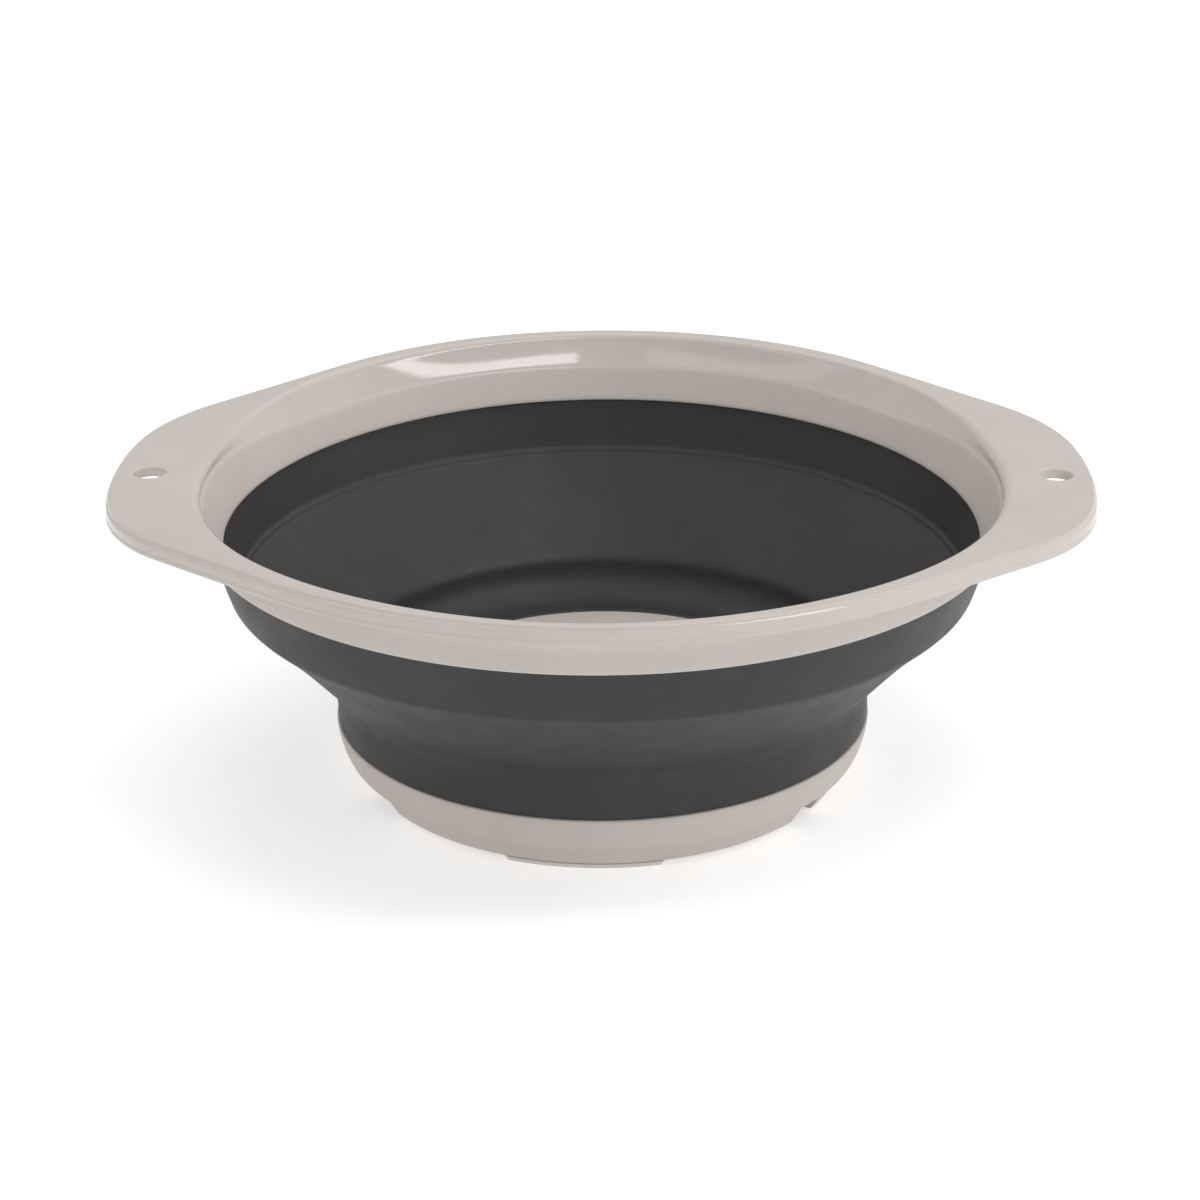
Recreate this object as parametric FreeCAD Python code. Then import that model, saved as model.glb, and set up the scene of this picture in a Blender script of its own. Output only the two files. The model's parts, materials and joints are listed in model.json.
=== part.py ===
import FreeCAD, Part
import math
import os

# Collapsible washing-up bowl: a stiff rim with two handles, a soft folding wall and a stiff base on feet.
# Millimetres, +Z up. The origin is the centre of the circle that the feet stand on; the handles lie along X.

# Rim in plan
mouth_radius = 141.4            # inside of the rim's skirt, at its lower edge
flange_width = 20.6             # from the mouth to the rim's outer edge, at the front and the back
handle_length = 21.0            # how far a handle reaches beyond the round rim
handle_corner = 80.0            # curve between a handle's straight side and its outer end
handle_spread = 47.4            # degrees from a handle's middle to where its side leaves the round rim
shoulder_run = 13.9             # from the mouth to the inner edge of the flange's level strip
shoulder_tuck = 6.3             # how much nearer to the mouth that edge runs at the handles

# Rim in section
skirt_thickness = 7.9           # at the lower edge, where the soft wall is moulded in
skirt_bevel = 2.6               # rise of the skirt's lower edge, from the mouth to the outside
skirt_height = 11.7
skirt_flare = 5.0               # how far the skirt leans out over its height
skirt_draft = 1.2               # lean of the skirt's outer side
crease_width = 1.4              # narrow step between skirt and flange
crease_rise = 1.6
crease_lift = 1.4               # how much higher the step runs at the handles
crease_bulge = 0.15             # how far the step's middle stands in from a straight bevel
handle_rise = 5.6               # handle plate above the crease
rim_rise = 5.7                  # front and back edge above the handle plate
land_dish = 0.3                 # fall of the level strip towards the bowl
plate_thickness = 2.8
lip_depth = 6.9
lip_thickness = 2.6
lip_flare = 0.7                 # how far the lip's lower edge stands out
edge_round = 2.4
rail_stations = 48              # places round the rim where its section is worked out

# Hanging holes in the handles
hole_radius = 6.1
hole_inset = 13.7               # from a handle's outer end to the hole's centre
collar_width = 2.7
collar_depth = 4.4              # from the handle's top face to the collar's lower face

# Soft wall
band_thickness = 3.4
upper_band_height = 19.2
upper_band_taper = 4.9          # radius lost from the rim down to the upper fold
mouth_lip = 0.3                 # thin edge of the rim that covers the wall's top inside
tongue_height = 3.2             # part of the wall that is moulded into the rim
tongue_lean = 2.0
tongue_thickness = 2.4
fold_height = 36.5              # slope between the two folds
fold_run = 38.7
web_width = 2.6                 # level width of the thin folding slope
shoulder_round = 3.0            # softened outer corner below the upper fold
fold_gap = 0.3                  # free joint line between the upper band and the folding slope
fold_bead = 0.8                 # raised line inside the upper fold
lower_band_height = 18.8
lower_band_taper = 0.5
floor_overlap = 20.7            # soft layer that runs in over the base's edge
floor_layer = 2.5
floor_corner_radius = 13.0      # hollow corner between the wall and the floor

# Base
base_ledge = 0.8                # base edge proud of the soft wall
base_wall_height = 14.2
base_wall_taper = 4.0
base_wall_bulge = 1.0
base_wall_thickness = 3.0
floor_rise = 4.8                # floor above the base's top edge
floor_thickness = 2.6
rib_count = 8
rib_thickness = 1.8
rib_depth = 4.5
hub_radius = 14.0
hub_wall = 2.0

# Feet
foot_count = 3
foot_ring_height = 9.3
foot_step = 1.2
foot_taper = 5.0
foot_round = 1.3
foot_width = 4.4                # at the bottom
notch_angle = 8.0               # gap between two feet
foot_turn = -1.8                # turn of the feet away from the handles' cross axis
pad_angle = 37.0
pad_drop = 1.7                  # how far a pad stands below its foot
pad_margin = 0.5                # foot left bare outside a pad
pad_peg_depth = 1.8             # part of a pad that is let into the foot
pad_peg_inset = 0.8
pad_peg_angle = 30.0
pad_end_chamfer = 1.2

# Heights above the surface that the bowl stands on
foot_bottom = pad_drop
foot_top = foot_bottom + foot_ring_height
base_top = foot_top + base_wall_height
floor_top = base_top + floor_rise
lower_fold = base_top + lower_band_height
upper_fold = lower_fold + fold_height
skirt_bottom = upper_fold + upper_band_height
crease_bottom = skirt_bottom + skirt_height
crease_top = crease_bottom + crease_rise
handle_top = crease_top + handle_rise
rim_top = handle_top + rim_rise

# Radii
skirt_outer = mouth_radius + skirt_thickness
crease_inner = mouth_radius + skirt_flare
crease_outer = crease_inner + crease_width
shoulder_radius = mouth_radius + shoulder_run
rim_radius = mouth_radius + flange_width
handle_reach = rim_radius + handle_length
corner_centre = handle_reach - handle_corner
band_inner = mouth_radius + mouth_lip
band_outer = band_inner + band_thickness
upper_fold_outer = band_outer - upper_band_taper
upper_fold_inner = upper_fold_outer - band_thickness
lower_fold_outer = upper_fold_outer - fold_run
lower_fold_inner = lower_fold_outer - web_width
lower_band_foot = lower_fold_outer - lower_band_taper
base_radius = lower_band_foot + base_ledge
rebate_radius = lower_fold_inner
floor_radius = rebate_radius - floor_overlap
base_wall_foot = base_radius - base_wall_taper
foot_ring_top = base_wall_foot - foot_step
foot_ring_foot = foot_ring_top - foot_taper
foot_inner = foot_ring_foot - foot_round - foot_width

# Polar angles where a handle's straight side leaves the rim and meets its corner, and where the corner ends
side_angle = math.radians(handle_spread)
corner_turn = math.acos((rim_radius - handle_corner) / corner_centre)
corner_angle = side_angle - math.atan2(corner_centre * math.sin(corner_turn), rim_radius)
end_angle = side_angle - corner_turn

half_bulge = math.sqrt(0.5)


def point(radius, height):
    return FreeCAD.Vector(radius, 0, height)


def line(start, end):
    return Part.LineSegment(point(*start), point(*end)).toShape()


def arc(start, middle, end):
    return Part.Arc(point(*start), point(*middle), point(*end)).toShape()


def chain(*corners):
    return [line(a, b) for a, b in zip(corners, corners[1:])]


def spin(edges, angle=360.0):
    """Turns a closed section about Z, centred on the X axis when it is less than a full turn."""
    axis = FreeCAD.Vector(0, 0, 1)
    section = Part.Face(Part.Wire(edges))
    section.rotate(FreeCAD.Vector(), axis, -angle / 2)
    return section.revolve(FreeCAD.Vector(), axis, angle)


def closed(corners):
    return chain(*corners, corners[0])


def turned(shape, degrees):
    copy = shape.copy()
    copy.rotate(FreeCAD.Vector(), FreeCAD.Vector(0, 0, 1), degrees)
    return copy


def foot_angle(index):
    """Middle of a foot, the first one at the front."""
    return -90.0 + foot_turn + index * 360.0 / foot_count


def rim_reach(angle):
    """Radius of the rim's outer edge: round, with a straight-sided, round-cornered handle on each side."""
    lift = math.asin(abs(math.sin(angle)))
    if lift >= side_angle:
        return rim_radius
    if lift >= corner_angle:
        return rim_radius / math.cos(side_angle - lift)
    if lift <= end_angle:
        return handle_reach
    turn = lift - end_angle
    across = corner_centre * math.sin(turn)
    return corner_centre * math.cos(turn) + math.sqrt(handle_corner ** 2 - across ** 2)


def rim_section(angle):
    """Corners of the rim's section: up the inside, over the lip and back underneath."""
    sideways = abs(math.cos(angle)) ** 3
    lengthways = abs(math.sin(angle)) ** 3
    edge = rim_top - rim_rise * sideways
    reach = rim_reach(angle)
    lift = crease_lift * sideways
    shoulder = shoulder_radius - shoulder_tuck * (1 - lengthways)
    shoulder_height = edge - land_dish
    nose = edge_round * (1 - half_bulge)
    face = reach - lip_flare
    middle_radius = crease_inner + crease_width / 2 - crease_bulge
    middle_height = crease_bottom + lift + crease_rise / 2 + crease_bulge
    return [
        (mouth_radius, skirt_bottom),
        (crease_inner, crease_bottom + lift),
        (middle_radius, middle_height),
        (crease_outer, crease_top + lift),
        (shoulder, shoulder_height),
        (face - edge_round, edge),
        (face - nose, edge - nose),
        (face, edge - edge_round),
        (reach, edge - lip_depth),
        (reach - lip_thickness, edge - lip_depth),
        (face - lip_thickness, edge - plate_thickness),
        (shoulder + plate_thickness / 2, shoulder_height - plate_thickness),
        (skirt_outer + skirt_draft, crease_top + lift - plate_thickness),
        (skirt_outer, skirt_bottom + skirt_bevel),
    ]


def make_rim():
    """Stiff rim: smooth rails run round it, and each face is ruled from one rail to the next."""
    angles = [2 * math.pi * i / rail_stations for i in range(rail_stations)]
    sections = [rim_section(angle) for angle in angles]
    knots = [i / rail_stations for i in range(rail_stations + 1)]
    rails = []
    for corner in range(len(sections[0])):
        places = []
        for angle, section in zip(angles, sections):
            radius, height = section[corner]
            places.append(FreeCAD.Vector(radius * math.cos(angle), radius * math.sin(angle), height))
        rail = Part.BSplineCurve()
        rail.interpolate(Points=places, PeriodicFlag=True, Parameters=knots)
        rails.append(rail.toShape())
    faces = [Part.makeRuledSurface(a, b) for a, b in zip(rails, rails[1:] + rails[:1])]
    shell = Part.makeShell(faces)
    shell.sewShape()
    rim = Part.Solid(shell)
    if rim.Volume < 0:
        rim.reverse()
    rim = rim.cut(spin(closed(tongue_corners())))
    hole_centre = handle_reach - hole_inset
    collar_base = FreeCAD.Vector(hole_centre, 0, handle_top - collar_depth)
    collar = Part.makeCylinder(hole_radius + collar_width, collar_depth - plate_thickness / 2, collar_base)
    hole_base = FreeCAD.Vector(hole_centre, 0, handle_top - 2 * collar_depth)
    hole = Part.makeCylinder(hole_radius, 3 * collar_depth, hole_base)
    rim = rim.fuse([collar, turned(collar, 180.0)])
    return rim.cut([hole, turned(hole, 180.0)])


def tongue_corners():
    """Top edge of the soft wall inside the rim's skirt."""
    top = skirt_bottom + tongue_height
    lean_inner = band_inner + tongue_lean
    return [
        (band_inner, skirt_bottom),
        (band_outer, skirt_bottom),
        (lean_inner + tongue_thickness, top),
        (lean_inner, top),
    ]


def make_upper_wall():
    """Thick band below the rim, with the tongue that holds it there and a bead along the fold."""
    foot = upper_fold + fold_gap
    bead_top = foot + 2 * fold_bead
    slope = upper_band_taper / upper_band_height
    bead_radius = upper_fold_inner + slope * (bead_top - foot)
    bead_middle = (upper_fold_inner - fold_bead, foot + fold_bead)
    bottom_left, bottom_right, top_right, top_left = tongue_corners()
    edges = chain((upper_fold_inner, foot), (upper_fold_outer, foot), bottom_right, top_right, top_left,
                  bottom_left, (bead_radius, bead_top))
    edges.append(arc((bead_radius, bead_top), bead_middle, (upper_fold_inner, foot)))
    return spin(edges)


def make_folding_wall():
    """Thin slope between the two folds: the part that turns inside out when the bowl is pressed flat."""
    outer_top = (upper_fold_outer, upper_fold)
    inner_top = (upper_fold_outer - web_width, upper_fold)
    outer_foot = (lower_fold_outer, lower_fold)
    inner_foot = (lower_fold_inner, lower_fold)
    slope = fold_height / fold_run
    turn_in = (upper_fold_outer - shoulder_round, upper_fold - shoulder_round * slope)
    swell = shoulder_round * half_bulge
    shoulder = (upper_fold_outer - swell / 2, upper_fold - swell)
    edges = chain(outer_foot, turn_in)
    edges.append(arc(turn_in, shoulder, outer_top))
    edges += chain(outer_top, inner_top, inner_foot, outer_foot)
    return spin(edges)


def make_lower_wall():
    """Band above the base, with the soft layer that runs in over the base's edge to the floor."""
    layer_bottom = floor_top - floor_layer
    corner_centre = (lower_fold_inner - floor_corner_radius, floor_top + floor_corner_radius)
    reach = floor_corner_radius * half_bulge
    corner_top = (lower_fold_inner, corner_centre[1])
    corner_middle = (corner_centre[0] + reach, corner_centre[1] - reach)
    corner_foot = (corner_centre[0], floor_top)
    edges = chain((floor_radius, floor_top), (floor_radius, layer_bottom), (rebate_radius, layer_bottom),
                  (rebate_radius, base_top), (lower_band_foot, base_top), (lower_fold_outer, lower_fold),
                  (lower_fold_inner, lower_fold), corner_top)
    edges.append(arc(corner_top, corner_middle, corner_foot))
    edges += chain(corner_foot, (floor_radius, floor_top))
    return spin(edges)


def pad_corners():
    """Section of a foot pad: a sole below the foot and a narrower peg let into it."""
    outer = foot_ring_foot - pad_margin
    inner = foot_inner + pad_margin
    peg_top = foot_bottom + pad_peg_depth
    sole = [(inner, 0), (outer, 0), (outer, foot_bottom), (inner, foot_bottom)]
    peg = [
        (inner + pad_peg_inset, foot_bottom),
        (outer - foot_round - pad_peg_inset, foot_bottom),
        (outer - foot_round - pad_peg_inset, peg_top),
        (inner + pad_peg_inset, peg_top),
    ]
    return sole, peg


def make_foot_pad(index):
    """Soft pad under one foot, its ends sloped up from the surface."""
    sole_corners, peg_corners = pad_corners()
    sole = spin(closed(sole_corners), pad_angle)
    under = [edge for edge in sole.Edges if edge.BoundBox.ZMax < foot_bottom / 2]
    ends = [edge for edge in under if edge.Curve.TypeId == "Part::GeomLine"]
    sole = sole.makeChamfer(pad_end_chamfer, ends)
    pad = sole.fuse(spin(closed(peg_corners), pad_peg_angle))
    return turned(pad, foot_angle(index))


def make_base():
    """Stiff base: floor disc, curved outer wall, three feet and ribs underneath."""
    layer_bottom = floor_top - floor_layer
    edge_under = layer_bottom - floor_thickness
    floor_under = floor_top - floor_thickness
    wall_middle = ((base_radius + base_wall_foot) / 2 + base_wall_bulge, (base_top + foot_top) / 2)
    inner_top = (base_radius - base_wall_thickness, edge_under)
    inner_foot = (base_wall_foot - base_wall_thickness, foot_top)
    inner_middle = (wall_middle[0] - base_wall_thickness, (edge_under + foot_top) / 2)
    floor_step = floor_radius - floor_thickness
    nose = foot_round * (1 - half_bulge)
    round_top = (foot_ring_foot, foot_bottom + foot_round)
    round_middle = (foot_ring_foot - nose, foot_bottom + nose)
    round_end = (foot_ring_foot - foot_round, foot_bottom)
    edges = chain((0, floor_under), (0, floor_top), (floor_radius, floor_top), (floor_radius, layer_bottom),
                  (rebate_radius, layer_bottom), (rebate_radius, base_top), (base_radius, base_top))
    edges.append(arc((base_radius, base_top), wall_middle, (base_wall_foot, foot_top)))
    edges += chain((base_wall_foot, foot_top), (foot_ring_top, foot_top), round_top)
    edges.append(arc(round_top, round_middle, round_end))
    edges += chain(round_end, (foot_inner, foot_bottom), inner_foot)
    edges.append(arc(inner_foot, inner_middle, inner_top))
    edges += chain(inner_top, (floor_step, edge_under), (floor_step, floor_under), (0, floor_under))
    base = spin(edges)
    rib_bottom = edge_under - rib_depth
    hub_corners = [(hub_radius, rib_bottom), (hub_radius + hub_wall, rib_bottom),
                   (hub_radius + hub_wall, floor_under), (hub_radius, floor_under)]
    ribs = [spin(closed(hub_corners))]
    rib_length = inner_foot[0] - hub_radius - hub_wall / 2
    rib_start = FreeCAD.Vector(hub_radius + hub_wall / 2, -rib_thickness / 2, rib_bottom)
    tall_length = floor_step - hub_radius - hub_wall / 2
    for index in range(rib_count):
        low = Part.makeBox(rib_length, rib_thickness, edge_under - rib_bottom, rib_start)
        tall = Part.makeBox(tall_length, rib_thickness, floor_under - rib_bottom, rib_start)
        ribs.append(turned(low.fuse(tall), (index + 0.5) * 360.0 / rib_count))
    base = base.fuse(ribs)
    notch_inner = foot_inner - foot_width
    notch_corners = [(notch_inner, 0), (base_radius, 0), (base_radius, foot_top), (notch_inner, foot_top)]
    notch = spin(closed(notch_corners), notch_angle)
    recess = spin(closed(pad_corners()[1]), pad_peg_angle)
    for index in range(foot_count):
        middle = foot_angle(index)
        base = base.cut(turned(notch, middle + 180.0 / foot_count))
        base = base.cut(turned(recess, middle))
    return base.removeSplitter()


pieces = {
    "rim": make_rim(),
    "upper_wall": make_upper_wall(),
    "folding_wall": make_folding_wall(),
    "lower_wall": make_lower_wall(),
    "base": make_base(),
    "foot_pad_front": make_foot_pad(0),
    "foot_pad_right": make_foot_pad(1),
    "foot_pad_left": make_foot_pad(2),
}

os.makedirs("parts", exist_ok=True)
for name, shape in pieces.items():
    shape.exportStep("parts/" + name + ".step")
    print(name, "solids", len(shape.Solids), "valid", shape.isValid(), "volume", round(shape.Volume))
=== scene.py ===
import json
import math

import bmesh
import bpy
from mathutils import Matrix, Quaternion, Vector


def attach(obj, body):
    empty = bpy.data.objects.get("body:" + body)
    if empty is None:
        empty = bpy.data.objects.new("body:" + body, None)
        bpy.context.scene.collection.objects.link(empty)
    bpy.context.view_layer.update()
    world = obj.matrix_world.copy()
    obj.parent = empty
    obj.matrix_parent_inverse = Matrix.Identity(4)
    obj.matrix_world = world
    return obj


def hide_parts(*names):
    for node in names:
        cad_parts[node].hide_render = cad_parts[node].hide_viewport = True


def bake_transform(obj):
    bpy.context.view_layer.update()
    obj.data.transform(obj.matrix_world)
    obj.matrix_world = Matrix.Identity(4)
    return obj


# Collapsible washing-up bowl. Lengths are in millimetres, and times MM where Blender takes metres.

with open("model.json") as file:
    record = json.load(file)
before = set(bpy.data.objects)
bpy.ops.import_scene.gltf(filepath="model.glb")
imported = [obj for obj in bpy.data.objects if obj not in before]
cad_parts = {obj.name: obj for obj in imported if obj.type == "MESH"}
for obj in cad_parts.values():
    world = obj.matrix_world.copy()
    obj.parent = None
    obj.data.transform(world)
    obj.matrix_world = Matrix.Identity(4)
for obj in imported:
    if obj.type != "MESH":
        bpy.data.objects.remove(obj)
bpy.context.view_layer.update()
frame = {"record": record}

MM = 0.001
UP = Vector((0, 0, 1))
WELD = 0.001
BEVEL_ANGLE = math.radians(32)

# Rim from above: round, with a handle on each side that has straight flanks and round corners
RIM_REACH = 162.0
HANDLE_REACH = 183.4
HANDLE_ROUND = 80.0
HANDLE_SIDE = math.radians(47.4)
ROUND_MIDDLE = HANDLE_REACH - HANDLE_ROUND
ROUND_TURN = math.acos((RIM_REACH - HANDLE_ROUND) / ROUND_MIDDLE)
HANDLE_CORNER = HANDLE_SIDE - math.atan2(ROUND_MIDDLE * math.sin(ROUND_TURN), RIM_REACH)
HANDLE_END = HANDLE_SIDE - ROUND_TURN
RIM_STEPS = 224
TURN_POWER = 3

# Rim section: the skirt's inside, from the mouth's lower edge to the crease under the flange
MOUTH_HEIGHT = 99.45
MOUTH_DIP = 2.4
SKIRT_RADIUS = 141.5
SKIRT_SHARES = (0.3, 0.6, 0.85, 0.95)
CREASE_RADIUS = 147.7
CREASE_HEIGHT = 112.8
CREASE_WIDEN = 1.1
CREASE_LIFT = 1.4

# Rim section: the flange's slope, its shoulder and the flat plate outside it
RIM_TOP = 124.3
HANDLE_TOP = 118.6
HANDLE_FALL_POWER = 3.2
# Shares of the way up the slope, and how far it is hollowed there at the front and back
SLOPE_HOLLOWS = ((0.08, 0.1), (0.3, 0.24), (0.6, 0.27), (0.85, 0.13))
SHOULDER_RADIUS = 149.7
SHOULDER_SPREAD = 5.6
PLATE_FALL = 0.25
PLATE_THICKNESS = 2.7
PLATE_SHARES = (0.0, 0.16, 0.33, 0.5, 0.67, 0.84, 1.0)
UNDER_SHARES = (0.0, 0.2, 0.4, 0.6, 0.8, 1.0)

# Behind the handles the slope runs out wider and starts lower and further in
RUNOUT_SPREAD = 4.0
RUNOUT_PULL = 1.4
RUNOUT_DROP = 3.2

# Rim section: the lip and the skirt's outside
# A lip corner is a step out from its face (at its foot, from the rim's reach) and a step up from its edge
LIP_SETBACK = 0.3
LIP_BULGE = 0.1
LIP_FACE = (
    (-1.05, -0.05), (-0.88, -0.3), (-0.85, -0.85), (-0.72, -1.05), (-0.4, -1.35), (-0.08, -1.67),
    (0.06, -2.0), (0.1, -2.9), (0.08, -4.2), (-0.15, -4.75), (0.1, -5.1),
)
LIP_FOOT = (
    (0.0, -5.6), (0.0, -6.2), (-0.25, -6.75), (-1.0, -6.9), (-1.9, -6.85), (-2.45, -6.4), (-2.65, -5.3),
)
LIP_BACK = ((-2.75, -3.7), (-3.1, -3.05))
UNDER_CREASE = (150.6, 112.6)
SKIRT_TOP = (150.4, 110.0)
SKIRT_OUTSIDE = ((149.9, 106.4), (149.5, 103.0), (149.3, 102.15), (148.65, 101.75), (146.6, 101.2))

# Hanging holes, placed by the frame's record
hanging_hole = next(mount for mount in frame["record"]["mounts"] if mount["name"] == "hanging_hole_right")
HOLE_PLACE = hanging_hole["pos_m"][0] / MM
HOLE_RADIUS = hanging_hole["dims"]["r_mm"]
HOLE_FOOT = 114.2
HOLE_SINK = 0.15
HOLE_NEAR = 30.0
TOP_CLEARING = 9.0
UNDER_CLEARING = 11.0
LEVEL_SLACK = 1.0

# Soft wall
WALL_STEPS = 192
WALL_OUTSIDE = (
    (146.8, 102.6), (146.2, 101.2), (145.7, 99.4), (143.9, 92.6), (142.0, 86.0), (140.9, 82.9),
    (140.5, 81.6), (140.0, 80.6), (139.1, 79.5), (137.0, 77.6), (132.4, 73.8), (125.4, 67.0),
    (117.1, 58.0), (111.8, 52.0), (108.4, 48.6), (105.8, 45.8), (103.8, 43.4), (102.6, 40.9),
    (102.0, 38.2), (101.7, 34.0), (101.5, 27.6), (101.4, 25.2), (101.3, 24.65), (100.4, 24.55),
)
WALL_FOOT = (
    (98.95, 25.3), (98.9, 27.45), (88.0, 27.5), (79.2, 27.5), (78.3, 27.7), (78.25, 29.4), (78.6, 29.95),
)
WALL_INSIDE = (
    (80.4, 30.05), (85.4, 30.15), (90.6, 31.1), (94.9, 33.7), (97.6, 37.4), (98.6, 40.4), (98.95, 42.5),
    (99.5, 44.4), (101.0, 46.3), (104.2, 49.3), (110.0, 54.8), (118.0, 62.7), (126.0, 70.2), (131.6, 75.5),
    (133.6, 77.4), (134.7, 78.45), (135.15, 79.0), (135.35, 79.6), (135.6, 80.1), (136.3, 80.55),
    (136.75, 81.2), (137.1, 82.3), (138.2, 85.6), (140.0, 91.0), (141.7, 96.4), (142.2, 99.0),
    (142.8, 101.2), (143.9, 102.8),
)

# Base, its foot ring and what stiffens it underneath
BASE_STEPS = 180
BASE_SECTION = (
    (0, 30.0), (30.0, 30.0), (60.0, 30.0), (76.9, 30.0), (77.9, 29.85), (78.2, 29.3), (78.2, 27.5),
    (98.85, 27.5), (98.85, 24.6), (101.2, 24.6), (101.75, 24.5), (102.0, 24.0), (101.85, 22.2),
    (101.3, 19.2), (100.3, 15.8), (99.0, 12.6), (98.2, 11.4), (97.6, 11.0), (96.4, 10.95), (95.3, 11.0),
    (94.9, 11.5), (96.2, 15.0), (97.6, 19.6), (98.4, 23.4), (98.0, 24.7), (96.8, 24.9), (76.6, 24.9),
    (75.8, 25.1), (75.6, 25.8), (75.5, 27.1), (74.9, 27.4), (40.0, 27.4), (0, 27.4),
)
FOOT_STEPS = 72
FOOT_SECTION = (
    (96.7, 12.4), (96.6, 10.9), (91.6, 3.0), (91.15, 2.1), (90.3, 1.7), (86.4, 1.7), (85.9, 2.1),
    (94.7, 12.4),
)
FOOT_MIDDLES = (-92.0, 28.0, 147.3)
FOOT_SPANS = (107.0, 116.0, 109.6)
RING_STEPS = 48
RING_SECTION = ((14.0, 20.4), (16.0, 20.4), (16.2, 27.6), (13.8, 27.6))
RIB_COUNT = 8
RIB_WIDTH = 1.8
RIB_INNER = 15.2
# A rib is two bars, each with its outer radius, lower height and upper height
RIB_BARS = ((94.0, 20.4, 25.2), (76.0, 20.6, 27.6))
BASE_BEVEL = 0.5

# Foot pads
PAD_NODES = ("foot_pad_front", "foot_pad_right", "foot_pad_left")
PAD_MIDDLES = (-93.0, 28.2, 148.2)
PAD_SPAN = math.radians(37.0)
PAD_STEPS = 36
PAD_SECTION = ((86.4, 1.75), (86.4, 0.45), (86.85, 0.0), (90.65, 0.0), (91.1, 0.45), (91.1, 1.75))
PAD_RADIUS = 88.7
PAD_SLOPE = 1.2
PAD_LOW = 0.6
PAD_BEVEL = 0.35
SAME_WAY = 1e-4

# Colours, each from its darker to its lighter shade
GREIGE = ((0.575, 0.518, 0.478), (0.612, 0.556, 0.516))
GREIGE_SCUFF = ((0.66, 0.61, 0.57), (0.68, 0.63, 0.59))
CHARCOAL = ((0.029, 0.0277, 0.0286), (0.036, 0.0345, 0.0356))
DUST = ((0.075, 0.073, 0.073), (0.085, 0.083, 0.083))
PALE = ((0.71, 0.67, 0.63), (0.75, 0.71, 0.67))
WHITE = (1, 1, 1, 1)
FLOOR_WHITE = (0.9, 0.9, 0.9, 1)

# The stiff plastic is satin up to the crease and polished from there
SATIN_TOP = 111.0
POLISH_FOOT = 113.0
SATIN_ROUGHNESS = 0.38

# Surroundings. Light strengths, and lengths in metres.
EVEN_LIGHT = 0.53
RIGHT_LIGHT = 0.88
LEFT_LIGHT = 0.3
FLOOR_LIGHT = 0.26
FLOOR_SEEN = 0.45
FLOOR_RADIUS = 6.0
FLOOR_STEPS = 64
LIGHT_AIM = Vector((0, 0, 0.08))

# Camera
LENS_LENGTH = 87.3
LENS_SENSOR = 36.0
VIEW_PLACE = Vector((0.4, -1022.1, 490.5))
VIEW_AIM = Vector((-0.73, 0.0, 67.1))
VIEW_TURN = math.radians(1.5)
VIEW_TILT = math.radians(-0.4027)


def rim_reach(angle):
    """Outer edge of the rim: round, with a straight-sided, round-cornered handle on each side."""
    lift = math.asin(min(1.0, abs(math.sin(angle))))
    if lift >= HANDLE_SIDE:
        return RIM_REACH
    if lift >= HANDLE_CORNER:
        return RIM_REACH / math.cos(HANDLE_SIDE - lift)
    if lift <= HANDLE_END:
        return HANDLE_REACH
    turn = lift - HANDLE_END
    across = ROUND_MIDDLE * math.sin(turn)
    return ROUND_MIDDLE * math.cos(turn) + math.sqrt(HANDLE_ROUND ** 2 - across ** 2)


def along(start, end, share):
    """Point on the straight line from start to end, that share of the way."""
    return (start[0] + (end[0] - start[0]) * share, start[1] + (end[1] - start[1]) * share)


def skirt_inside(mouth, crease, side):
    """Round the mouth's lower edge and up the skirt's inside to the crease."""
    foot = (SKIRT_RADIUS - 0.3 * side, mouth + 1.1)
    points = [
        (SKIRT_RADIUS + 1.5, mouth + 0.5), (SKIRT_RADIUS + 0.4, mouth + 0.05),
        (SKIRT_RADIUS - 0.2 * side, mouth + 0.3), foot,
    ]
    points += [along(foot, (crease[0] - 0.35, crease[1]), share) for share in SKIRT_SHARES]
    return points + [crease]


def flange_slope(crease, shoulder, crest, side, front):
    """From the crease up a slightly hollow slope and over the shoulder."""
    top = (shoulder - 0.7 + 0.2 * side, crest - 2.2)
    points = []
    for share, hollow in SLOPE_HOLLOWS:
        radius, height = along(crease, top, share)
        points.append((radius + hollow * front, height))
    over = [(shoulder + 0.3 * side, crest - 0.95 - 0.1 * side), (shoulder + 1.0 + 0.8 * side, crest - 0.2)]
    return points + [top] + over


def under_flange(face, shoulder, crest, front, lift):
    """Back under the plate and the slope, and down the skirt's outside."""
    under = crest - PLATE_THICKNESS
    points = [along((face - 3.6, under), (shoulder + 2.6, under), share) for share in UNDER_SHARES]
    points += [
        (shoulder + 1.7, crest - 3.1),
        (UNDER_CREASE[0] + front, UNDER_CREASE[1] + lift),
        (SKIRT_TOP[0], SKIRT_TOP[1] + lift * 0.6),
    ]
    return points + list(SKIRT_OUTSIDE)


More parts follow.
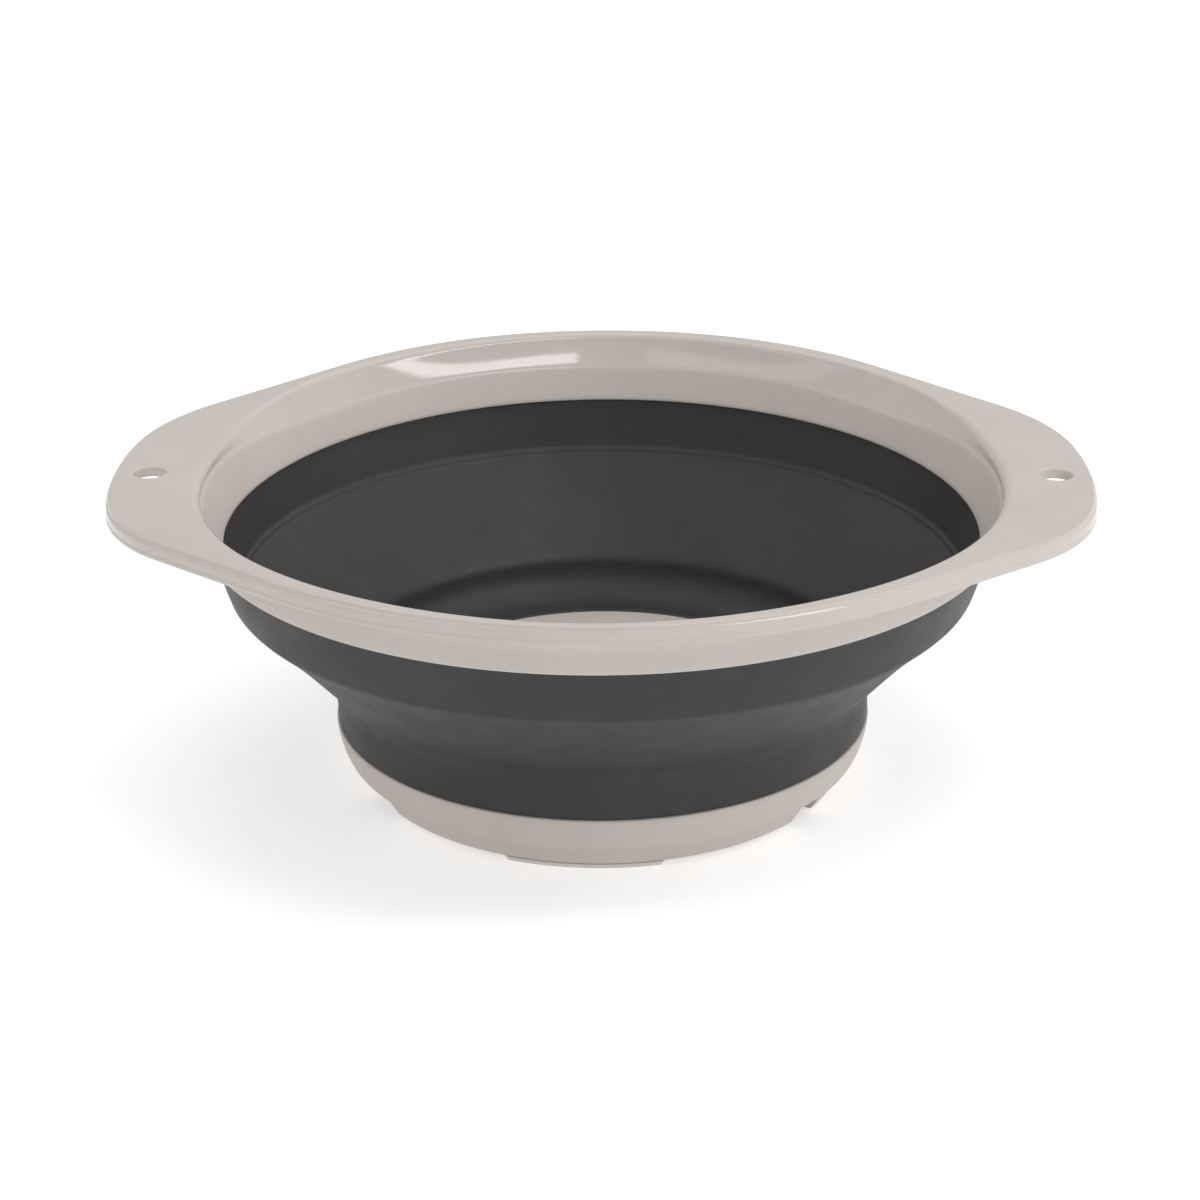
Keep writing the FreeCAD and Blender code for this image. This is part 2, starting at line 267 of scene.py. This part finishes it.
def rim_section(angle):
    """Radius and height of every loop round the rim, from the mouth's edge up, out and back below."""
    side = abs(math.cos(angle)) ** TURN_POWER
    front = abs(math.sin(angle)) ** TURN_POWER
    # Largest between the back and a handle, and nothing at both
    runout = (4.0 * side * (1.0 - side)) ** 2 if math.sin(angle) > 0 else 0.0
    edge = RIM_TOP - (RIM_TOP - HANDLE_TOP) * abs(math.cos(angle)) ** HANDLE_FALL_POWER
    crest = edge - PLATE_FALL
    mouth = MOUTH_HEIGHT - MOUTH_DIP * math.cos(angle) ** 2
    lift = CREASE_LIFT * side
    crease = (
        CREASE_RADIUS + CREASE_WIDEN * side - RUNOUT_PULL * runout,
        CREASE_HEIGHT + lift - RUNOUT_DROP * runout,
    )
    shoulder = SHOULDER_RADIUS + SHOULDER_SPREAD * front + RUNOUT_SPREAD * runout
    reach = rim_reach(angle)
    face = reach - LIP_SETBACK + LIP_BULGE * front
    loops = skirt_inside(mouth, crease, side) + flange_slope(crease, shoulder, crest, side, front)
    plate_inner = (shoulder + 2.1 + 1.5 * side, crest)
    loops += [along(plate_inner, (face - 1.5, edge), share) for share in PLATE_SHARES]
    for corner, steps in ((face, LIP_FACE), (reach, LIP_FOOT), (face, LIP_BACK)):
        loops += [(corner + out, edge + up) for out, up in steps]
    return loops + under_flange(face, shoulder, crest, front, lift)


def shell_from(shape, name, material):
    """Turns a finished shape into a smooth-shaded object whose place is in its mesh."""
    bmesh.ops.remove_doubles(shape, verts=shape.verts, dist=WELD * MM)
    bmesh.ops.recalc_face_normals(shape, faces=shape.faces)
    mesh = bpy.data.meshes.new(name)
    shape.to_mesh(mesh)
    shape.free()
    mesh.shade_smooth()
    mesh.materials.append(material)
    piece = bpy.data.objects.new(name, mesh)
    bpy.context.scene.collection.objects.link(piece)
    return piece


def smoothed(piece, levels):
    """Gives a piece a finer, rounder surface."""
    soften = piece.modifiers.new("soften", "SUBSURF")
    soften.levels = levels
    soften.render_levels = levels
    return piece


def rounded(piece, width, segments):
    """Rounds a piece's sharp edges."""
    edge = piece.modifiers.new("edge", "BEVEL")
    edge.width = width * MM
    edge.segments = segments
    edge.limit_method = "ANGLE"
    edge.angle_limit = BEVEL_ANGLE
    edge.harden_normals = True
    return piece


def parts_of(result, kind):
    """The vertices, edges or faces among what an operator made."""
    return [item for item in result["geom"] if isinstance(item, kind)]


def ring_edges(verts):
    """The edges that have both ends among these vertices."""
    inside = set(verts)
    return [edge for edge in {e for v in verts for e in v.link_edges} if set(edge.verts) <= inside]


def run_on(shape, edges, place):
    """Extrudes an open loop once and puts its new corners where place says."""
    result = bmesh.ops.extrude_edge_only(shape, edges=edges)
    corners = parts_of(result, bmesh.types.BMVert)
    for corner in corners:
        corner.co = place(corner.co)
    return ring_edges(corners)


def gap_edges(shape, centre, level):
    """The open edges round a gap at about this level."""
    near = []
    for edge in shape.edges:
        middle = (edge.verts[0].co + edge.verts[1].co) / 2
        close = (middle.xy - centre.xy).length < HOLE_NEAR * MM
        if edge.is_boundary and close and level - LEVEL_SLACK * MM < middle.z < level + LEVEL_SLACK * MM:
            near.append(edge)
    return near


def pierce_handle(shape, side):
    """Hanging hole: clears the faces over and under it, and joins both with a rounded wall and a collar."""
    centre = Vector((side * HOLE_PLACE, 0, 0)) * MM
    plate_top = (HANDLE_TOP - HOLE_SINK) * MM
    plate_under = plate_top - PLATE_THICKNESS * MM
    for level, clearing in ((plate_top, TOP_CLEARING), (plate_under, UNDER_CLEARING)):
        over = [
            face for face in shape.faces
            if abs(face.calc_center_median().z - level) < LEVEL_SLACK * MM
            and (face.calc_center_median().xy - centre.xy).length < clearing * MM
        ]
        bmesh.ops.delete(shape, geom=over, context="FACES")
    top_gap = gap_edges(shape, centre, plate_top)
    under_gap = gap_edges(shape, centre, plate_under)
    steps = len(top_gap)
    # The finer surface pulls a ring in towards its middle, so its corners are set further out
    fuller = 3.0 / (2.0 + math.cos(2 * math.pi / steps))
    start = bmesh.ops.create_circle(
        shape, cap_ends=False, segments=steps, radius=(HOLE_RADIUS + 1.3) * fuller * MM,
        matrix=Matrix.Translation(centre + UP * plate_top),
    )
    edges = ring_edges(start["verts"])
    bmesh.ops.bridge_loops(shape, edges=top_gap + edges)
    top, under = plate_top / MM, plate_under / MM
    wall = (
        (0.55, top - 0.08), (0.12, top - 0.4), (0.0, top - 1.1), (0.0, HOLE_FOOT + 0.8),
        (0.15, HOLE_FOOT + 0.2), (0.6, HOLE_FOOT), (1.9, HOLE_FOOT), (2.5, HOLE_FOOT + 0.2),
        (2.7, HOLE_FOOT + 0.7), (2.75, under - 0.25), (3.3, under),
    )
    for step, height in wall:
        def placed(old, radius=HOLE_RADIUS + step, height=height):
            out = Vector((old.x - centre.x, old.y, 0)).normalized() * (radius * fuller * MM)
            return Vector((centre.x + out.x, out.y, height * MM))
        edges = run_on(shape, edges, placed)
    bmesh.ops.bridge_loops(shape, edges=edges + under_gap)


def make_rim(material):
    """Stiff rim: one loop round the mouth, extruded through the whole section and joined up underneath."""
    shape = bmesh.new()
    start = bmesh.ops.create_circle(shape, cap_ends=False, segments=RIM_STEPS, radius=1.0)
    count = len(rim_section(0.0))

    def put(index):
        def placed(old):
            angle = math.atan2(old.y, old.x)
            radius, height = rim_section(angle)[index]
            return Vector((radius * math.cos(angle), radius * math.sin(angle), height)) * MM
        return placed

    first = ring_edges(start["verts"])
    for corner in start["verts"]:
        corner.co = put(0)(corner.co)
    edges = first
    for index in range(1, count):
        edges = run_on(shape, edges, put(index))
    bmesh.ops.bridge_loops(shape, edges=first + edges)
    for side in (1, -1):
        pierce_handle(shape, side)
    piece = smoothed(shell_from(shape, "rim_moulding", material), 1)
    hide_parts("rim")
    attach(piece, "rim")
    return piece


def section_verts(shape, corners):
    """New vertices at a section's corners, on the plane through the X and Z axes."""
    return [shape.verts.new(Vector((radius, 0, height)) * MM) for radius, height in corners]


def spin_full(shape, corners, steps, closed):
    """A section spun once round the bowl's axis. An open section ends on the axis."""
    verts = section_verts(shape, corners)
    pairs = list(zip(verts, verts[1:])) + ([(verts[-1], verts[0])] if closed else [])
    edges = [shape.edges.new(pair) for pair in pairs]
    bmesh.ops.spin(
        shape, geom=verts + edges, cent=(0, 0, 0), axis=UP, angle=2 * math.pi,
        steps=steps, use_merge=True, use_duplicate=False,
    )


def spin_piece(shape, corners, span, steps, middle):
    """A length of ring with closed ends, its middle at the given angle."""
    verts = section_verts(shape, corners)
    cap = shape.faces.new(verts)
    bmesh.ops.rotate(shape, cent=(0, 0, 0), matrix=Matrix.Rotation(middle - span / 2, 3, "Z"), verts=verts)
    bmesh.ops.spin(
        shape, geom=[cap] + list(cap.edges) + verts, cent=(0, 0, 0), axis=UP, angle=span, steps=steps,
        use_merge=False, use_duplicate=False,
    )


def make_soft_wall(material):
    """Soft wall in one piece, from the tongue inside the rim's skirt to the layer over the base's edge."""
    shape = bmesh.new()
    spin_full(shape, WALL_OUTSIDE + WALL_FOOT + WALL_INSIDE, WALL_STEPS, closed=True)
    piece = smoothed(shell_from(shape, "soft_wall", material), 1)
    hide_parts("upper_wall", "folding_wall", "lower_wall")
    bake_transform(piece)
    return piece


def make_base(material):
    """Stiff base: floor, curved side, three feet, ribs and a ring underneath."""
    shape = bmesh.new()
    spin_full(shape, BASE_SECTION, BASE_STEPS, closed=False)
    for middle, span in zip(FOOT_MIDDLES, FOOT_SPANS):
        spin_piece(shape, FOOT_SECTION, math.radians(span), FOOT_STEPS, math.radians(middle))
    spin_full(shape, RING_SECTION, RING_STEPS, closed=True)
    for index in range(RIB_COUNT):
        turn = Matrix.Rotation((index + 0.5) * 2 * math.pi / RIB_COUNT, 4, "Z")
        for outer, low, high in RIB_BARS:
            size = Matrix.Diagonal(((outer - RIB_INNER) * MM, RIB_WIDTH * MM, (high - low) * MM, 1.0))
            middle = Matrix.Translation(Vector(((outer + RIB_INNER) / 2, 0, (high + low) / 2)) * MM)
            bmesh.ops.create_cube(shape, size=1.0, matrix=turn @ middle @ size)
    piece = rounded(shell_from(shape, "base_moulding", material), BASE_BEVEL, 3)
    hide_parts("base")
    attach(piece, "base")
    return piece


def make_foot_pad(node, middle, material):
    """Soft pad under one foot, with sloped ends."""
    shape = bmesh.new()
    spin_piece(shape, PAD_SECTION, PAD_SPAN, PAD_STEPS, middle)
    slope = PAD_SLOPE / PAD_RADIUS
    for end, turn in ((middle - PAD_SPAN / 2, slope), (middle + PAD_SPAN / 2, -slope)):
        way = Vector((math.cos(end), math.sin(end), 0))
        low = [
            v for v in shape.verts
            if v.co.z < PAD_LOW * MM and (v.co.xy.normalized() - way.xy).length < SAME_WAY
        ]
        bmesh.ops.rotate(shape, cent=(0, 0, 0), matrix=Matrix.Rotation(turn, 3, "Z"), verts=low)
    piece = rounded(shell_from(shape, node + "_sole", material), PAD_BEVEL, 2)
    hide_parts(node)
    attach(piece, "base")
    return piece


class Finish:
    """Node tree of one finish, with short ways to add nodes and links."""

    def __init__(self, name):
        self.material = bpy.data.materials.new(name)
        self.material.use_nodes = True
        self.tree = self.material.node_tree
        self.shader = self.tree.nodes["Principled BSDF"]
        self.place = self.add("ShaderNodeTexCoord").outputs["Object"]

    def add(self, kind, **settings):
        node = self.tree.nodes.new(kind)
        for name, value in settings.items():
            setattr(node, name, value)
        return node

    def join(self, start, end):
        self.tree.links.new(start, end)

    def give(self, value, socket):
        """Links a value to one of the shader's sockets."""
        self.join(value, self.shader.inputs[socket])

    def noise(self, scale, detail, stretch=None):
        """Cloudy pattern, finer with a larger scale, and drawn out where it is stretched."""
        node = self.add("ShaderNodeTexNoise")
        node.inputs["Scale"].default_value = scale
        node.inputs["Detail"].default_value = detail
        if stretch:
            turn = self.add("ShaderNodeMapping")
            turn.inputs["Scale"].default_value = stretch
            self.join(self.place, turn.inputs["Vector"])
            self.join(turn.outputs["Vector"], node.inputs["Vector"])
        else:
            self.join(self.place, node.inputs["Vector"])
        return node.outputs["Fac"]

    def ramp(self, value, shades, start=0.0, end=1.0):
        """Colour that goes from the darker to the lighter shade as the value goes from start to end."""
        node = self.add("ShaderNodeValToRGB")
        for mark, position, shade in zip(node.color_ramp.elements, (start, end), shades):
            mark.position = position
            mark.color = (*shade, 1)
        self.join(value, node.inputs["Fac"])
        return node.outputs["Color"]

    def spread(self, value, low, high, start=0.3, end=0.7):
        """Number that goes from low to high as the value goes from start to end."""
        node = self.add("ShaderNodeMapRange")
        node.inputs["From Min"].default_value = start
        node.inputs["From Max"].default_value = end
        node.inputs["To Min"].default_value = low
        node.inputs["To Max"].default_value = high
        self.join(value, node.inputs["Value"])
        return node.outputs["Result"]

    def sum(self, first, second):
        node = self.add("ShaderNodeMath", operation="ADD")
        self.join(first, node.inputs[0])
        self.join(second, node.inputs[1])
        return node.outputs["Value"]

    def over(self, below, above, share):
        """Colour of the one below, covered by that share of the one above."""
        node = self.add("ShaderNodeMix", data_type="RGBA")
        self.join(share, node.inputs["Factor"])
        self.join(below, node.inputs["A"])
        self.join(above, node.inputs["B"])
        return node.outputs["Result"]

    def bump(self, height, strength, distance, below=None):
        node = self.add("ShaderNodeBump")
        node.inputs["Strength"].default_value = strength
        node.inputs["Distance"].default_value = distance
        self.join(height, node.inputs["Height"])
        if below:
            self.join(below, node.inputs["Normal"])
        return node.outputs["Normal"]


def satin_greige():
    """Stiff moulded plastic: warm pale grey, polished above the crease and satin below, faintly scuffed."""
    finish = Finish("satin_greige_plastic")
    colour = finish.ramp(finish.noise(scale=22.0, detail=3.0), GREIGE, start=0.25, end=0.75)
    scuff = finish.noise(scale=90.0, detail=2.0, stretch=(14.0, 0.7, 1.0))
    scuff_share = finish.spread(scuff, 0.0, 0.1, start=0.68, end=0.82)
    finish.give(finish.over(colour, finish.ramp(scuff, GREIGE_SCUFF), scuff_share), "Base Color")
    haze = finish.spread(finish.noise(scale=60.0, detail=4.0), 0.06, 0.1)
    rub = finish.spread(scuff, 0.0, 0.06, start=0.66, end=0.80)
    parts = finish.add("ShaderNodeSeparateXYZ")
    finish.join(finish.place, parts.inputs["Vector"])
    height = parts.outputs["Z"]
    satin = finish.spread(height, SATIN_ROUGHNESS, 0.0, start=SATIN_TOP * MM, end=POLISH_FOOT * MM)
    finish.give(finish.sum(finish.sum(haze, rub), satin), "Roughness")
    grain = finish.bump(finish.noise(scale=2600.0, detail=2.0), strength=0.05, distance=0.04 * MM)
    ripple = finish.noise(scale=110.0, detail=2.0)
    finish.give(finish.bump(ripple, strength=0.03, distance=0.4 * MM, below=grain), "Normal")
    finish.shader.inputs["IOR"].default_value = 1.49
    return finish.material


def soft_charcoal():
    """Soft folding wall: dark grey, matt with a faint sheen, slightly dusty."""
    finish = Finish("soft_charcoal_wall")
    colour = finish.ramp(finish.noise(scale=30.0, detail=4.0), CHARCOAL, start=0.25, end=0.75)
    dust = finish.noise(scale=700.0, detail=3.0)
    dust_share = finish.spread(dust, 0.0, 0.3, start=0.6, end=0.85)
    finish.give(finish.over(colour, finish.ramp(dust, DUST), dust_share), "Base Color")
    finish.give(finish.spread(finish.noise(scale=80.0, detail=4.0), 0.45, 0.55), "Roughness")
    grain = finish.bump(finish.noise(scale=3200.0, detail=3.0), strength=0.12, distance=0.05 * MM)
    ripple = finish.noise(scale=140.0, detail=2.0)
    finish.give(finish.bump(ripple, strength=0.05, distance=0.4 * MM, below=grain), "Normal")
    finish.shader.inputs["Specular IOR Level"].default_value = 0.45
    return finish.material


def soft_pale():
    """Foot pads: pale soft plastic, matt with a fine grain."""
    finish = Finish("soft_pale_pad")
    finish.give(finish.ramp(finish.noise(scale=60.0, detail=3.0), PALE, start=0.3, end=0.7), "Base Color")
    finish.give(finish.spread(finish.noise(scale=200.0, detail=3.0), 0.46, 0.6), "Roughness")
    grain = finish.noise(scale=2400.0, detail=2.0)
    finish.give(finish.bump(grain, strength=0.1, distance=0.05 * MM), "Normal")
    return finish.material


def pale_floor():
    """White floor that glows like a studio table, more so to the camera, and takes the bowl's shadow."""
    material = bpy.data.materials.new("pale_floor")
    material.use_nodes = True
    tree = material.node_tree
    tree.nodes.clear()
    out = tree.nodes.new("ShaderNodeOutputMaterial")
    matt = tree.nodes.new("ShaderNodeBsdfDiffuse")
    matt.inputs["Color"].default_value = FLOOR_WHITE
    glow = tree.nodes.new("ShaderNodeEmission")
    glow.inputs["Color"].default_value = WHITE
    seen = tree.nodes.new("ShaderNodeLightPath")
    direct = tree.nodes.new("ShaderNodeMath")
    direct.operation = "MAXIMUM"
    level = tree.nodes.new("ShaderNodeMapRange")
    level.inputs["To Min"].default_value = FLOOR_LIGHT
    level.inputs["To Max"].default_value = FLOOR_SEEN
    both = tree.nodes.new("ShaderNodeAddShader")
    tree.links.new(seen.outputs["Is Camera Ray"], direct.inputs[0])
    tree.links.new(seen.outputs["Is Transmission Ray"], direct.inputs[1])
    tree.links.new(direct.outputs["Value"], level.inputs["Value"])
    tree.links.new(level.outputs["Result"], glow.inputs["Strength"])
    tree.links.new(matt.outputs["BSDF"], both.inputs[0])
    tree.links.new(glow.outputs["Emission"], both.inputs[1])
    tree.links.new(both.outputs["Shader"], out.inputs["Surface"])
    return material


def make_floor():
    """Round floor that the bowl stands on."""
    shape = bmesh.new()
    bmesh.ops.create_circle(shape, cap_ends=True, segments=FLOOR_STEPS, radius=FLOOR_RADIUS)
    mesh = bpy.data.meshes.new("floor")
    shape.to_mesh(mesh)
    shape.free()
    mesh.materials.append(pale_floor())
    floor = bpy.data.objects.new("floor", mesh)
    bpy.context.scene.collection.objects.link(floor)


def make_world():
    """White surroundings, brighter at both sides than in front, and plain white to the camera."""
    world = bpy.data.worlds.new("studio")
    bpy.context.scene.world = world
    world.use_nodes = True
    tree = world.node_tree
    back = tree.nodes["Background"]
    back.inputs["Color"].default_value = WHITE

    def reckon(operation, first, second):
        node = tree.nodes.new("ShaderNodeMath")
        node.operation = operation
        for socket, value in zip(node.inputs, (first, second)):
            if isinstance(value, float):
                socket.default_value = value
            else:
                tree.links.new(value, socket)
        return node.outputs["Value"]

    parts = tree.nodes.new("ShaderNodeSeparateXYZ")
    tree.links.new(tree.nodes.new("ShaderNodeTexCoord").outputs["Generated"], parts.inputs["Vector"])
    level = EVEN_LIGHT
    for way, strength in ((1.0, RIGHT_LIGHT), (-1.0, LEFT_LIGHT)):
        facing = reckon("MAXIMUM", reckon("MULTIPLY", parts.outputs["X"], way), 0.0)
        level = reckon("ADD", level, reckon("MULTIPLY", reckon("POWER", facing, 2.0), strength))
    seen = tree.nodes.new("ShaderNodeLightPath")
    direct = reckon("MAXIMUM", seen.outputs["Is Camera Ray"], seen.outputs["Is Transmission Ray"])
    mixed = tree.nodes.new("ShaderNodeMapRange")
    mixed.inputs["To Max"].default_value = 1.0
    tree.links.new(direct, mixed.inputs["Value"])
    tree.links.new(level, mixed.inputs["To Min"])
    tree.links.new(mixed.outputs["Result"], back.inputs["Strength"])


def softbox(name, azimuth, height, distance, size, power, roll=0.0):
    """Area light that faces the bowl, unseen by the camera. Azimuth 0 is at the front, 90 on the right."""
    lamp = bpy.data.lights.new(name, "AREA")
    lamp.shape = "RECTANGLE"
    lamp.size, lamp.size_y = size
    lamp.energy = power
    around, above = math.radians(azimuth), math.radians(height)
    way = Vector((math.sin(around) * math.cos(above), -math.cos(around) * math.cos(above), math.sin(above)))
    light = bpy.data.objects.new(name, lamp)
    light.location = LIGHT_AIM + way * distance
    rolled = (-way).to_track_quat("-Z", "Y") @ Quaternion((0, 0, 1), math.radians(roll))
    light.rotation_euler = rolled.to_euler()
    light.visible_camera = False
    bpy.context.scene.collection.objects.link(light)


def make_camera():
    """The photograph's view: a long lens, looking down at the bowl from the front."""
    lens = bpy.data.cameras.new("view")
    lens.lens = LENS_LENGTH
    lens.sensor_width = LENS_SENSOR
    lens.clip_start, lens.clip_end = 0.05, 50.0
    camera = bpy.data.objects.new("view", lens)
    bpy.context.scene.collection.objects.link(camera)
    bpy.context.scene.camera = camera
    turn = Matrix.Rotation(VIEW_TURN, 3, "Z")
    place = turn @ (VIEW_PLACE * MM)
    aim = turn @ (VIEW_AIM * MM)
    forward = (aim - place).normalized()
    right = forward.cross(UP).normalized()
    above = right.cross(forward)
    level = right * math.cos(VIEW_TILT) + above * math.sin(VIEW_TILT)
    rise = above * math.cos(VIEW_TILT) - right * math.sin(VIEW_TILT)
    camera.matrix_world = Matrix((
        (level.x, rise.x, -forward.x, place.x),
        (level.y, rise.y, -forward.y, place.y),
        (level.z, rise.z, -forward.z, place.z),
        (0, 0, 0, 1),
    ))


greige = satin_greige()
charcoal = soft_charcoal()
pale = soft_pale()

make_rim(greige)
make_soft_wall(charcoal)
make_base(greige)
for node, middle in zip(PAD_NODES, PAD_MIDDLES):
    make_foot_pad(node, math.radians(middle), pale)

make_floor()
make_world()
make_camera()
softbox("key", azimuth=53.5, height=57.0, distance=1.16, size=(0.87, 0.13), power=2.8, roll=-41.0)
softbox("fill", azimuth=-62.0, height=53.5, distance=1.16, size=(1.0, 0.18), power=0.75, roll=41.0)
softbox("back", azimuth=180.0, height=60.0, distance=1.5, size=(1.8, 1.2), power=4.0)

bpy.context.scene.view_settings.view_transform = "Standard"
